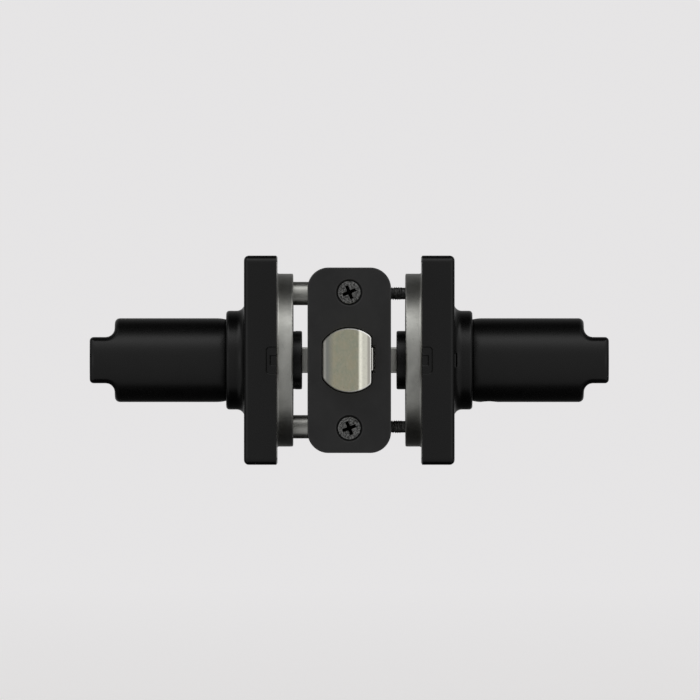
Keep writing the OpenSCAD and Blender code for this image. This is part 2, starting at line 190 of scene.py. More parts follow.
def new_object(name, points, faces, normals):
    """A smooth mesh object from points in millimetres, faces and the points' normals."""
    mesh = bpy.data.meshes.new(name)
    mesh.vertices.add(len(points))
    mesh.vertices.foreach_set("co", (points * MM).ravel())
    size = faces.shape[1]
    mesh.loops.add(len(faces) * size)
    mesh.loops.foreach_set("vertex_index", faces.ravel())
    mesh.polygons.add(len(faces))
    mesh.polygons.foreach_set("loop_start", np.arange(0, len(faces) * size, size))
    mesh.polygons.foreach_set("use_smooth", np.ones(len(faces), bool))
    mesh.update(calc_edges=True)
    mesh.normals_split_custom_set_from_vertices(normals)
    bend = mesh.attributes.new("edge_bend", "FLOAT", "POINT")
    bend.data.foreach_set("value", edge_bend(points, faces, normals))
    thing = bpy.data.objects.new(name, mesh)
    bpy.context.scene.collection.objects.link(thing)
    return thing


def gradient(field, p):
    """The field's slope at each point."""
    g, step = np.empty_like(p), 2e-3
    for k in range(3):
        shift = np.zeros(3)
        shift[k] = step
        g[:, k] = (field(*(p + shift).T) - field(*(p - shift).T)) / (2 * step)
    return g


def skin(name, field, xs, ys, zs):
    """The closed surface where a distance field is zero, as quads on a grid, with exact normals."""
    grid = np.meshgrid(xs, ys, zs, indexing="ij")
    value = field(*grid)
    value[value == 0] = 1e-9
    inside = value < 0
    shape = np.array(inside.shape) - 1
    count = np.zeros(shape, int)
    corners = [(i, j, k) for i in (0, 1) for j in (0, 1) for k in (0, 1)]
    for c in corners:
        count += inside[tuple(slice(c[a], c[a] + shape[a]) for a in range(3))]
    cells = np.argwhere((count > 0) & (count < 8))
    number = -np.ones(shape, int)
    number[tuple(cells.T)] = np.arange(len(cells))
    axes = (xs, ys, zs)
    total, hits = np.zeros((len(cells), 3)), np.zeros(len(cells))
    for c in corners:
        for a in range(3):
            if c[a]:
                continue
            start = cells + c
            end = start.copy()
            end[:, a] += 1
            f0, f1 = value[tuple(start.T)], value[tuple(end.T)]
            crossed = (f0 < 0) != (f1 < 0)
            share = np.where(crossed, f0 / np.where(crossed, f0 - f1, 1), 0)
            p = np.stack([axes[b][start[:, b]] for b in range(3)], 1)
            p[:, a] += share * (axes[a][end[:, a]] - axes[a][start[:, a]])
            total += p * crossed[:, None]
            hits += crossed
    points = total / hits[:, None]
    for _ in range(3):
        g = gradient(field, points)
        length2 = np.maximum((g * g).sum(1), 0.05)
        move = (field(*points.T) / length2)[:, None] * g
        points = points - np.clip(move, -0.3, 0.3)
    quads = []
    for a in range(3):
        b, c = (a + 1) % 3, (a + 2) % 3
        low = [slice(None)] * 3
        low[b] = low[c] = slice(1, -1)
        first = list(low)
        first[a] = slice(None, -1)
        second = list(low)
        second[a] = slice(1, None)
        f0, f1 = inside[tuple(first)], inside[tuple(second)]
        for leaving in (True, False):
            at = np.argwhere((f0 & ~f1) if leaving else (~f0 & f1))
            at[:, b] += 1
            at[:, c] += 1
            ring = []
            for sb, sc in ((1, 1), (0, 1), (0, 0), (1, 0)):
                cell = at.copy()
                cell[:, b] -= sb
                cell[:, c] -= sc
                ring.append(number[tuple(cell.T)])
            quad = np.stack(ring, 1)
            quads.append(quad if leaving else quad[:, ::-1])
    g = gradient(field, points)
    normals = g / np.maximum(np.linalg.norm(g, axis=1), 1e-9)[:, None]
    return new_object(name, points, np.concatenate(quads), normals)


def mirrored(thing, name, keep=False):
    """A piece's mirror image on the other side of the door. The piece itself goes unless it is kept."""
    mesh = thing.data
    points = np.empty(len(mesh.vertices) * 3)
    mesh.vertices.foreach_get("co", points)
    points = points.reshape(-1, 3) / MM * (-1, 1, 1)
    faces = np.empty(len(mesh.loops), int)
    mesh.loops.foreach_get("vertex_index", faces)
    normals = np.empty(len(mesh.loops) * 3)
    mesh.corner_normals.foreach_get("vector", normals)
    at_vertex = np.zeros_like(points)
    at_vertex[faces] = normals.reshape(-1, 3) * (-1, 1, 1)
    if not keep:
        bpy.data.objects.remove(thing)
    return new_object(name, points, faces.reshape(-1, 4)[:, ::-1], at_vertex)


def tube_along(name, path, r, side, sides):
    """A closed round wire along a path of points."""
    path = np.asarray(path, float)
    ahead = np.gradient(path, axis=0)
    ahead /= np.linalg.norm(ahead, axis=1)[:, None]
    u = np.cross(ahead, side)
    u /= np.linalg.norm(u, axis=1)[:, None]
    v = np.cross(ahead, u)
    angles = np.arange(sides) * 2 * math.pi / sides
    rings, radii = [], [0.35 * r, 0.8 * r, r]
    centres = [path[0], path[0] + ahead[0] * 0.12 * r, path[0] + ahead[0] * 0.5 * r]
    order = list(zip(centres, radii, [0, 0, 0]))
    order += [(path[i], r, i) for i in range(1, len(path) - 1)]
    last = len(path) - 1
    tail = [path[last] - ahead[last] * 0.5 * r, path[last] - ahead[last] * 0.12 * r, path[last]]
    order += list(zip(tail, radii[::-1], [last] * 3))
    for centre, radius, i in order:
        rings.append(centre + radius * (np.outer(np.cos(angles), u[i]) + np.outer(np.sin(angles), v[i])))
    points = np.concatenate(rings + [path[:1], path[last:]])
    faces = []
    for i in range(len(order) - 1):
        for k in range(sides):
            a, b = i * sides + k, i * sides + (k + 1) % sides
            faces.append((a, b, b + sides, a + sides))
    head, foot = len(points) - 2, len(points) - 1
    base = (len(order) - 1) * sides
    mesh = bpy.data.meshes.new(name)
    for k in range(sides):
        faces.append(((k + 1) % sides, k, head))
        faces.append((base + k, base + (k + 1) % sides, foot))
    mesh.from_pydata([tuple(p) for p in points * MM], [], faces)
    mesh.polygons.foreach_set("use_smooth", np.ones(len(faces), bool))
    mesh.update()
    thing = bpy.data.objects.new(name, mesh)
    bpy.context.scene.collection.objects.link(thing)
    return thing


# ---------------------------------------------------------------- materials
def material(name, colour, roughness, metallic=0.0, specular=0.5):
    """A material with its node tree and its shader."""
    made = bpy.data.materials.new(name)
    made.use_nodes = True
    shader = made.node_tree.nodes["Principled BSDF"]
    shader.inputs["Base Color"].default_value = (*colour, 1)
    shader.inputs["Roughness"].default_value = roughness
    shader.inputs["Metallic"].default_value = metallic
    shader.inputs["Specular IOR Level"].default_value = specular
    return made, made.node_tree, shader


def noise(tree, scale, detail, stretch=(1, 1, 1), roughness=0.6):
    """Noise fixed to the piece, with its scale in cells per millimetre."""
    where = tree.nodes.new("ShaderNodeTexCoord")
    mapping = tree.nodes.new("ShaderNodeMapping")
    mapping.inputs["Scale"].default_value = tuple(s * scale / MM for s in stretch)
    made = tree.nodes.new("ShaderNodeTexNoise")
    made.inputs["Scale"].default_value = 1.0
    made.inputs["Detail"].default_value = detail
    made.inputs["Roughness"].default_value = roughness
    tree.links.new(where.outputs["Object"], mapping.inputs["Vector"])
    tree.links.new(mapping.outputs["Vector"], made.inputs["Vector"])
    return made.outputs["Fac"]


def ramp(tree, value, stops):
    """A colour ramp: stops are (position, grey or colour)."""
    made = tree.nodes.new("ShaderNodeValToRGB")
    tree.links.new(value, made.inputs["Fac"])
    line = made.color_ramp
    while len(line.elements) < len(stops):
        line.elements.new(0.5)
    for element, (position, colour) in zip(line.elements, stops):
        element.position = position
        element.color = (*colour, 1) if isinstance(colour, tuple) else (colour, colour, colour, 1)
    return made.outputs["Color"]


def mix(tree, share, a, b):
    """Colour a where the share is 0 and b where it is 1. Each may be a socket or a value."""
    made = tree.nodes.new("ShaderNodeMix")
    made.data_type = "RGBA"
    for socket, value in ((made.inputs[0], share), (made.inputs[6], a), (made.inputs[7], b)):
        if isinstance(value, bpy.types.NodeSocket):
            tree.links.new(value, socket)
        else:
            socket.default_value = (*value, 1) if isinstance(value, tuple) else value
    return made.outputs[2]


def bump(tree, shader, height, distance_mm):
    """Adds a relief to a shader, on top of any that it has."""
    made = tree.nodes.new("ShaderNodeBump")
    made.inputs["Strength"].default_value = 1.0
    made.inputs["Distance"].default_value = distance_mm * MM
    tree.links.new(height, made.inputs["Height"])
    before = shader.inputs["Normal"]
    if before.is_linked:
        tree.links.new(before.links[0].from_socket, made.inputs["Normal"])
    tree.links.new(made.outputs["Normal"], before)


def rise(tree, value, low, high):
    """0 where a value is below low, 1 where it is above high."""
    made = tree.nodes.new("ShaderNodeMapRange")
    made.inputs["From Min"].default_value = low
    made.inputs["From Max"].default_value = high
    tree.links.new(value, made.inputs["Value"])
    return made.outputs["Result"]


def raised_edge_share(tree, low, high):
    """How far a point is on a raised edge, from the surface's bend per millimetre."""
    bend = tree.nodes.new("ShaderNodeAttribute")
    bend.attribute_name = "edge_bend"
    return rise(tree, bend.outputs["Fac"], low, high)


def place(tree):
    """A point's X, Y and Z sockets, in the piece's own axes."""
    where = tree.nodes.new("ShaderNodeTexCoord")
    parts = tree.nodes.new("ShaderNodeSeparateXYZ")
    tree.links.new(where.outputs["Object"], parts.inputs[0])
    return parts.outputs


def powder_coat(name, grey, roughness, specular):
    """Satin black powder coat: a fine orange peel, cloudy gloss, and edges rubbed a little lighter."""
    made, tree, shader = material(name, (grey, grey, grey), roughness, specular=specular)
    tone = noise(tree, 0.08, 4)
    speck = noise(tree, 3.0, 2)
    shades = [(0.3, (grey * 0.7, grey * 0.7, grey * 0.72)), (0.7, (grey * 1.3, grey * 1.3, grey * 1.3))]
    rubbed = (grey * 2 + 0.006, grey * 2 + 0.006, grey * 2 + 0.006)
    worn = mix(tree, raised_edge_share(tree, 0.5, 1.5), ramp(tree, tone, shades), rubbed)
    tree.links.new(worn, shader.inputs["Base Color"])
    gloss = [(0.3, roughness - 0.04), (0.7, roughness + 0.04)]
    tree.links.new(ramp(tree, speck, gloss), shader.inputs["Roughness"])
    bump(tree, shader, noise(tree, 1.1, 2), 0.012)
    bump(tree, shader, speck, 0.004)
    return made


def plated(name, colour, roughness, scratch=(1, 1, 12), speckle=0.1):
    """Plated or bare steel with fine drawn lines, cloudy tone and small stains."""
    made, tree, shader = material(name, colour, roughness, metallic=1.0)
    cloud = noise(tree, 0.12, 5)
    lines = noise(tree, 1.6, 3, scratch)
    dull = tuple(c * (0.80 - speckle) for c in colour)
    stain = tuple(c * 0.45 for c in colour)
    tone = mix(tree, ramp(tree, cloud, [(0.35, 0.0), (0.68, 1.0)]), dull, colour)
    tone = mix(tree, ramp(tree, noise(tree, 1.5, 4), [(0.60, 0.0), (0.74, speckle * 4)]), tone, stain)
    tone = mix(tree, raised_edge_share(tree, 0.8, 2.0), tone, tuple(min(1.0, c * 1.35) for c in colour))
    tree.links.new(tone, shader.inputs["Base Color"])
    gloss = [(0.3, roughness - 0.08), (0.7, roughness + 0.10)]
    tree.links.new(ramp(tree, lines, gloss), shader.inputs["Roughness"])
    bump(tree, shader, lines, 0.006)
    return made


def black_oxide(name, low, high, roughness, painted_shade_from=None):
    """Blackened steel with a coarse, glittering grain. Where a depth in Y is given, everything behind it
    goes near black: painted shade in the cross recess and round the head's sunk rim.
    """
    made, tree, shader = material(name, (low, low, low), roughness, metallic=1.0)
    grain = noise(tree, 3.0, 3, roughness=0.7)
    tone = ramp(tree, grain, [(0.40, (low, low, low)), (0.64, (high, high, high * 0.98))])
    if painted_shade_from is not None:
        # Painted shade: the colour goes near black behind this depth.
        depth = rise(tree, place(tree)["Y"], painted_shade_from * MM, (painted_shade_from + 0.3) * MM)
        tone = mix(tree, depth, tone, (0.002,) * 3)
    tree.links.new(tone, shader.inputs["Base Color"])
    tree.links.new(ramp(tree, noise(tree, 4.0, 2), [(0.3, roughness - 0.12), (0.7, roughness + 0.15)]),
                   shader.inputs["Roughness"])
    bump(tree, shader, grain, 0.12)
    return made


def worn_nickel_and_painted_light(name):
    """The bolt: nickel, bright on the nose and lighter still on tight edges, mottled grey brown on the bevel
    with a darker grey band near its foot, and a darker band on the nose by the rib. The bevel's darker tone
    against the nose and the lighter edges are partly wear and partly painted shade and painted highlight;
    the band by the rib is painted shade.
    """
    bright, brown, grey = (0.97, 0.955, 0.83), (0.91, 0.85, 0.62), (0.77, 0.80, 0.61)
    made, tree, shader = material(name, bright, 0.3, metallic=1.0)
    x, y = place(tree)["X"], place(tree)["Y"]
    mottle = mix(tree, ramp(tree, noise(tree, 0.24, 3), [(0.34, 0.0), (0.66, 1.0)]), brown, grey)
    blotch = ramp(tree, noise(tree, 0.9, 4, roughness=0.7), [(0.46, 0.0), (0.66, 0.7)])
    mottle = mix(tree, blotch, mottle, (0.98, 0.93, 0.74))
    # Towards the bevel's foot the colour turns darker grey, with a paler strip at its very edge.
    near_foot = rise(tree, x, (BOLT_FLAT_LEFT + 3.4) * MM, (BOLT_FLAT_LEFT + 1.6) * MM)
    mottle = mix(tree, near_foot, mottle, (0.60, 0.61, 0.56))
    foot = rise(tree, x, (BOLT_FLAT_LEFT + 1.2) * MM, (BOLT_FLAT_LEFT + 0.8) * MM)
    mottle = mix(tree, foot, mottle, (0.90, 0.88, 0.82))
    spots = ramp(tree, noise(tree, 1.3, 4), [(0.50, 0.0), (0.72, 0.5)])
    nose = mix(tree, spots, bright, (0.74, 0.72, 0.64))
    # Painted shade: a darker band along the nose beside the rib, standing in for an edge that turns away
    # from the light.
    painted_shade_by_rib = rise(tree, x, (BOLT_FLAT_RIGHT - 1.4) * MM, (BOLT_FLAT_RIGHT - 1.0) * MM)
    nose = mix(tree, painted_shade_by_rib, nose, (0.58, 0.56, 0.50))
    # The nose and the bolt's hidden rear take the nose's colour, and the bevel takes the darker mottle:
    # partly wear, partly painted shade on the bevel and painted highlight on the nose.
    nose_share = tree.nodes.new("ShaderNodeMath")
    nose_share.operation = "MAXIMUM"
    tree.links.new(rise(tree, x, (BEVEL_TIP - 1.0) * MM, (BEVEL_TIP - 0.1) * MM), nose_share.inputs[0])
    tree.links.new(rise(tree, y, (EDGE - 2.2) * MM, (EDGE - 0.2) * MM), nose_share.inputs[1])
    tone = mix(tree, nose_share.outputs[0], mottle, nose)
    # Tight edges are made lighter: partly wear, partly a painted highlight along the rims.
    tone = mix(tree, raised_edge_share(tree, 0.45, 0.9), tone, (1.0, 0.99, 0.95))
    tree.links.new(tone, shader.inputs["Base Color"])
    lines = noise(tree, 1.4, 3, (1, 1, 9))
    tree.links.new(ramp(tree, lines, [(0.3, 0.26), (0.7, 0.42)]), shader.inputs["Roughness"])
    bump(tree, shader, lines, 0.008)
    return made


def finish_piece(thing, body, slot, paint, *nodes):
    """Gives a piece its material and body, and hides the CAD nodes that it stands for. Its slot is not used.
    """
    thing.data.materials.clear()
    thing.data.materials.append(paint)
    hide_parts(*nodes)
    if body:
        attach(thing, body)
    return thing


# ---------------------------------------------------------------- paints
BLACK = powder_coat("black_powder_coat", 0.0016, 0.29, 0.30)
PLATE_BLACK = powder_coat("black_plate_coat", 0.012, 0.42, 0.30)
ZINC = plated("zinc_plate", (0.50, 0.50, 0.47), 0.34)
DRAWN_ZINC = plated("drawn_zinc_tube", (0.50, 0.50, 0.47), 0.30, (1, 9, 1))
SPRING = plated("spring_steel", (0.25, 0.245, 0.24), 0.30, (1, 1, 1))
CAST_ZINC = plated("die_cast_zinc", (0.36, 0.36, 0.35), 0.44, (1, 1, 1), 0.06)
OXIDE = black_oxide("black_oxide", 0.03, 0.14, 0.42)
# The wood screws' heads, with painted shade: near black from just behind the plate's face inwards.
HEAD_OXIDE = black_oxide("black_oxide_heads", 0.02, 0.24, 0.40, EDGE + 0.2)
NICKEL = worn_nickel_and_painted_light("worn_nickel_and_painted_light")


# ---------------------------------------------------------------- levers
KEY_LOW, KEY_HIGH, KEY_HALF, KEY_DEEP = 10.0, 12.0, 2.2, 1.8
GROOVE_BACK, GROOVE_FRONT, GROOVE_R = CLIP_LOW[0] - 0.1, FACE + 0.03, 8.3
SOCKET_END = 50.0
NECK_DEEP, NECK_ROUND = 0.5, 12.0
NECK_START = COLLAR_END + 2.9  # where the hub begins to curve in to the neck
HUB_ROUND, ARM_ROUND, ARM_FILLET = 1.6, 1.2, 2.7
SET_SCREW_HOLE_R, PIN_HOLE_R = 2.05, 1.3


def lever_field(x, y, z):
    """Hub, flat arm and hollow shank. At its near end the arm is a strip of the hub's own cylinder."""
    across = np.hypot(y, z)
    strip = meet(np.abs(z) - ARM_HALF, x - ARM_FRONT, ARM_ROUND)
    hub = meet(across - HUB_R, join(x - HUB_END, strip, ARM_FILLET), HUB_ROUND)
    hub = meet(hub, NECK_START - NECK_ROUND - x, NECK_ROUND)
    arm = box_field(x, y, z, (ARM_BACK, 0, -ARM_HALF), (ARM_FRONT, ARM_TIP, ARM_HALF), ARM_ROUND)
    inner_hub = meet(across - HUB_R, slab(x, NECK_START, HUB_END), HUB_ROUND)
    handle = np.minimum(hub, join(arm, inner_hub, ARM_FILLET))
    neck = np.maximum(across - HUB_R + NECK_DEEP, slab(x, HUB_START, HUB_END - 5))
    shank = meet(across - SHANK_R, slab(x, SHANK_END, HUB_START + 4), 0.4)
    body = np.minimum(np.minimum(handle, neck), shank)
    groove = np.maximum(slab(x, GROOVE_BACK, GROOVE_FRONT), GROOVE_R - across)
    socket = np.maximum(rectangle_field(y, z, SOCKET_HALF, SOCKET_HALF, 0.3), x - SOCKET_END)
    key = box_field(x, y, np.abs(z), (HUB_START - 2, -KEY_HALF, KEY_LOW),
                    (HUB_START + KEY_DEEP, KEY_HALF, KEY_HIGH), 0.2)
    return np.maximum(np.maximum(body, -groove), np.maximum(-socket, -key))


def inside_lever_field(x, y, z):
    """The lever with the set screw's hole in the lower side of its hub."""
    hole = np.hypot(x - SET_SCREW_X, y) - SET_SCREW_HOLE_R
    return cut(lever_field(x, y, z), np.maximum(hole, z + 2), 0.25)


def outside_lever_field(x, y, z):
    """The lever with the pin's hole through its shank, on the inside of the door."""
    hole = np.hypot(x - abs(PIN_X), y) - PIN_HOLE_R
    return cut(lever_field(x, y, z), hole, 0.2)


def make_levers():
    """Both levers. The outside one is made on the inside of the door and mirrored."""
    low, high = np.array([SHANK_END, -HUB_R, -HUB_R]), np.array([ARM_FRONT, ARM_TIP, HUB_R])
    steps_x = [GROOVE_BACK, FACE, HUB_START, COLLAR_END, HUB_END - 1, ARM_BACK, ARM_FRONT - 1]
    for side, field, hole_x in (("inside", inside_lever_field, SET_SCREW_X),
                                ("outside", outside_lever_field, abs(PIN_X))):
        made = solid(side + "_lever_body", field, low, high, 0.36, (0.9, 2.6, 0.42),
                     ([*steps_x, hole_x], [*range(-12, 15, 2)], ()))
        if side == "outside":
            made = mirrored(made, "outside_lever_shell")
        finish_piece(made, side + "_handle", "black_coat", BLACK, side + "_lever")


# ---------------------------------------------------------------- roses
ROSE_WALL, ROSE_FRONT_WALL = 1.5, 1.2
ROSE_CORNER, ROSE_RIM = 2.3, 1.5
COLLAR_ROUND, COLLAR_FILLET, COLLAR_GAP = 1.0, 2.4, 0.3
PRY_HALF_W, PRY_H, PRY_DEEP = 4.05, 3.1, 0.5
PRY_SLOT_HALF_W, PRY_SLOT_H, PRY_SLOT_DEEP = 1.5, 1.9, 1.05
RELEASE_HALF_W, RELEASE_H = 2.2, 0.8


def rose_field(x, y, z):
    """Square cover with a round collar, hollow behind, with a pry notch in its rear edge by the latch."""
    across = np.hypot(y, z)
    block = meet(rectangle_field(y, z, ROSE_HALF, ROSE_HALF, ROSE_CORNER), x - ROSE_FRONT, ROSE_RIM)
    collar = meet(across - COLLAR_R, x - COLLAR_END, COLLAR_ROUND)
    cover = join(block, collar, COLLAR_FILLET)
    inner = ROSE_HALF - ROSE_WALL
    hollow = np.maximum(rectangle_field(y, z, inner, inner, 0.8), x - ROSE_FRONT + ROSE_FRONT_WALL)
    cover = cut(np.maximum(cover, -hollow), across - HUB_R - COLLAR_GAP, 0.3)
    recess = np.maximum(rectangle_field(x - FACE, z, PRY_H, PRY_HALF_W, 1.0), y + ROSE_HALF - PRY_DEEP)
    slot = rectangle_field(x - FACE, z, PRY_SLOT_H, PRY_SLOT_HALF_W, 0.3)
    slot = np.maximum(slot, y + ROSE_HALF - PRY_SLOT_DEEP)
    return meet(cut(cut(cover, recess, 0.25), slot, 0.2), FACE - x, 0.2)


def release_rose_field(x, y, z):
    """The inside rose also has a narrow tool slot at the foot of its collar."""
    low = (ROSE_FRONT, -18, -RELEASE_HALF_W)
    high = (ROSE_FRONT + RELEASE_H, -COLLAR_R - 0.1, RELEASE_HALF_W)
    return cut(rose_field(x, y, z), box_field(x, y, z, low, high, 0.2), 0.12)


def make_roses():
    """Both roses. The outside one is made on the inside of the door and mirrored."""
    for side, field in (("inside", release_rose_field), ("outside", rose_field)):
        made = solid(side + "_rose_cover", field, ROSE_LOW, ROSE_HIGH, 0.3, (0.4, 0.8, 0.8),
                     ([ROSE_FRONT], [-29, 29, -16, 14], [-29, 29, -3, 0, 3, -14, 14]))
        if side == "outside":
            made = mirrored(made, "outside_rose_shell")
        finish_piece(made, "chassis", "black_coat", BLACK, side + "_rose")


# ---------------------------------------------------------------- behind the roses
LINER_HALF, LINER_T = LINER_HIGH[2], 1.8
RING_R, RING_WALL = 26.6, 1.5
BUSHING_R, BUSHING_END = 11.3, FACE + 7.3
ANCHOR_IN, ANCHOR_OUT = 14.4, 16.0
DOG_IN, DOG_OUT, DOG_GAP = 16.4, 18.0, 0.4
STOP_TURN, STOP_H = 66.0, 4.5
CAM_PLATE_BACK, CAM_PLATE_FRONT, CAM_PLATE_R = FACE + 7.4, FACE + 8.4, 14.6
CAM_KEY_IN, CAM_KEY_OUT, CAM_KEY_HALF, CAM_KEY_DEEP = 10.2, 11.8, 2.0, 1.6
CLIP_MOUTH = 5


def liner_field(x, y, z, hole_r):
    """Steel plate with the ring that centres it in the door, the lever's bearing, and its bent tabs."""
    across, front = np.hypot(y, z), FACE + LINER_T
    plate = meet(rectangle_field(y, z, LINER_HALF, LINER_HALF, 1.5), slab(x, FACE, front), 0.3)
    ring = meet(slab(across, RING_R - RING_WALL, RING_R), slab(x, LINER_LOW[0], front - 0.5), 0.35)
    bushing = meet(across - BUSHING_R, slab(x, FACE + 0.5, BUSHING_END), 0.4)
    body = join(join(plate, ring, 0.6), bushing, 0.9)
    anchor = box_field(x, y, z, (FACE + 0.5, ANCHOR_IN, -TAB_HALF),
                       (CAM_PLATE_BACK - 0.3, ANCHOR_OUT, TAB_HALF), 0.3)
    v, w = turned(y, np.abs(z), STOP_TURN)
    stop = box_field(x, v, w, (FACE + 0.5, DOG_IN, -TAB_HALF), (front + STOP_H, DOG_OUT, TAB_HALF), 0.3)
    body = join(join(body, anchor, 0.5), stop, 0.5)
    body = cut(body, across - BORE_R, 0.3)
    return cut(body, np.hypot(y, np.abs(z) - POST_Z) - hole_r, 0.25)


def return_cam_field(x, y, z):
    """Thin plate keyed to the lever, with one bent tab that winds the spring."""
    across = np.hypot(y, z)
    disc = meet(across - CAM_PLATE_R, slab(x, CAM_PLATE_BACK, CAM_PLATE_FRONT), 0.25)
    arm = box_field(x, y, z, (CAM_PLATE_BACK, 0, -TAB_HALF), (CAM_PLATE_FRONT, DOG_OUT, TAB_HALF), 0.25)
    dog = box_field(x, y, z, (FACE + LINER_T + DOG_GAP, DOG_IN, -TAB_HALF),
                    (CAM_PLATE_FRONT, DOG_OUT, TAB_HALF), 0.25)
    key = box_field(x, y, np.abs(z), (CAM_PLATE_BACK, -CAM_KEY_HALF, CAM_KEY_IN),
                    (HUB_START + CAM_KEY_DEEP, CAM_KEY_HALF, CAM_KEY_OUT), 0.25)
    body = join(np.minimum(join(disc, arm, 1.5), dog), key, 0.4)
    return cut(body, across - BORE_R, 0.2)


def clip_field(x, y, z):
    """Open ring in the shank's groove."""
    across = np.hypot(y, z)
    ring = meet(slab(across, GROOVE_R + 0.05, CLIP_HIGH[2]), slab(x, CLIP_LOW[0], CLIP_HIGH[0]), 0.22)
    mouth = np.maximum(np.abs(z) - CLIP_MOUTH, -y)
    return cut(ring, mouth, 0.4)


POST_R, POST_BORE_R, POST_THREAD_R, POST_MOUTH_R, POST_BORE_END = 3.6, 2.1, 1.75, 2.6, -16.0
M4_R, M4_ROOT_R, M4_PITCH = 2.0, 1.65, 0.7
MACHINE_NECK_R, MACHINE_HEAD_R = 1.8, 3.9
MACHINE_SEAT, MACHINE_CROWN, MACHINE_THREAD_END = FACE + LINER_T, 9.0, 16.0


def post_field(x, y, z):
    """Threaded post, riveted over the liner."""
    r = np.hypot(y, z)
    body = meet(r - POST_R, slab(x, -FACE - LINER_T - 0.5, POSTS_HIGH[0]), 0.45)
    head = meet(r - POST_HEAD_R, slab(x, POSTS_LOW[0], -FACE - LINER_T), 0.45)
    bore = thread(x, y, z, POST_BORE_R, POST_THREAD_R, M4_PITCH)
    mouth = (r - POST_MOUTH_R + (POSTS_HIGH[0] - x)) * 0.7
    inside = np.maximum(np.minimum(bore, mouth), POST_BORE_END - x)
    return np.maximum(join(body, head, 0.3), -inside)


def machine_screw_field(x, y, z):
    """Pan-head machine screw."""
    r = np.hypot(y, z)
    high = MACHINE_HIGH[0]
    head = meet(r - MACHINE_HEAD_R, slab(x, MACHINE_SEAT, high), 0.3)
    head = meet(head, np.hypot(r, x - high + MACHINE_CROWN) - MACHINE_CROWN, 0.3)
    taper = np.clip((x - MACHINE_LOW[0] + 0.4) / 1.2, 0.3, 1)
    shank = thread(x, y, z, M4_R * taper, M4_ROOT_R * taper, M4_PITCH)
    shank = np.maximum(shank, slab(x, MACHINE_LOW[0], MACHINE_THREAD_END))
    plain = np.maximum(r - MACHINE_NECK_R, slab(x, MACHINE_THREAD_END - 2, MACHINE_SEAT + 1))
    body = join(np.minimum(shank, plain), head, 0.25)
    return cut(body, cross_recess(y, z, high - 0.3 - x, 2.2, 1.6), 0.08)


# ---------------------------------------------------------------- spindle
SPINDLE_HALF = SPINDLE_HIGH[2]


def spindle_field(x, y, z):
    """Square bar with eased corners and chamfered ends."""
    bar = rectangle_field(y, z, SPINDLE_HALF, SPINDLE_HALF, 0.45)
    end = slab(x, SPINDLE_LOW[0], SPINDLE_HIGH[0])
    chamfer = (np.maximum(np.abs(y), np.abs(z)) - SPINDLE_HALF + 0.8 + end) * 0.7
    bar = meet(np.maximum(bar, chamfer), end, 0.15)
    return cut(bar, np.hypot(x - PIN_X, y) - PIN_HOLE_R, 0.15)


def pin_field(x, y, z):
    """Slotted spring pin, bevelled at both ends."""
    r, half = np.hypot(x - PIN_X, y), PIN_HIGH[2]
    pin = np.maximum(r - PIN_HIGH[1], (r - PIN_HIGH[1] + np.abs(z) - half + 0.5) * 0.7)
    pin = np.maximum(pin, np.abs(z) - half)
    return np.maximum(np.maximum(pin, 0.7 - r), -np.maximum(np.abs(y) - 0.2, PIN_X - x))


def set_screw_field(x, y, z):
    """Socket set screw, open downwards."""
    u, low, high = x - SET_SCREW_X, SET_SCREW_LOW[2], SET_SCREW_HIGH[2]
    taper = np.clip(np.minimum(z - low + 1.2, high - z + 1.0) / 1.6, 0.5, 1)
    body = np.maximum(thread(z, u, y, M4_R * taper, M4_ROOT_R * taper, M4_PITCH), slab(z, low, high))
    sides = [turned(u, y, a)[0] for a in (30, 90, 150)]
    socket = np.maximum.reduce([np.abs(v) for v in sides]) - 1.0
    return cut(body, np.maximum(socket, z - low - 2.5), 0.08)


# ---------------------------------------------------------------- latch front
PLATE_CORNER = 6.35
RIB_LOW, RIB_HIGH, RIB_PROUD = -3.1, 3.8, 0.5
BOLT_GAP, RIB_GAP = 0.3, 0.7
WOOD_NECK_R = 2.2


def bolt_outline(x, z, gap=0.0, rib_gap=0.0, r=0.3):
    """The bolt's outline and its rib's, grown by their clearances."""
    flats = slab(x, BOLT_FLAT_LEFT - gap, BOLT_FLAT_RIGHT + gap)
    barrel = meet(np.hypot(x, z) - BOLT_R - gap, flats, r)
    wide = slab(x, 0, BOLT_FLAT_RIGHT + RIB_PROUD + rib_gap)
    return barrel, np.maximum(slab(z, RIB_LOW - rib_gap, RIB_HIGH + rib_gap), wide)


def sink_field(x, y, z, spare):
    """The countersunk holes of the two wood screws."""
    r, depth = np.hypot(x, np.abs(z) - SCREW_Z), y - EDGE
    return np.minimum((r - SCREW_HEAD_R - spare + 0.80 * depth) * 0.78, r - WOOD_NECK_R - 0.1)


def faceplate_field(x, y, z):
    """The plate in the door's edge, with the bolt's opening and two countersunk holes."""
    outline = rectangle_field(x, z, PLATE_HIGH[0], PLATE_HIGH[2], PLATE_CORNER)
    plate = meet(outline, slab(y, PLATE_LOW[1], PLATE_HIGH[1]), 0.4)
    barrel, rib = bolt_outline(x, z, BOLT_GAP, RIB_GAP)
    plate = cut(cut(plate, barrel, 0.12), rib, 0.1)
    return cut(plate, sink_field(x, y, z, 0.18), 0.12)


def backplate_field(x, y, z):
    """The plate behind the faceplate, round the tube."""
    outline = rectangle_field(x, z, BACK_HIGH[0], BACK_HIGH[2], PLATE_CORNER)
    plate = meet(outline, slab(y, BACK_LOW[1], BACK_HIGH[1]), 0.3)
    plate = cut(plate, np.hypot(x, z) - TUBE_HIGH[0] - 0.05, 0.2)
    return cut(plate, sink_field(x, y, z, 0.1), 0.15)


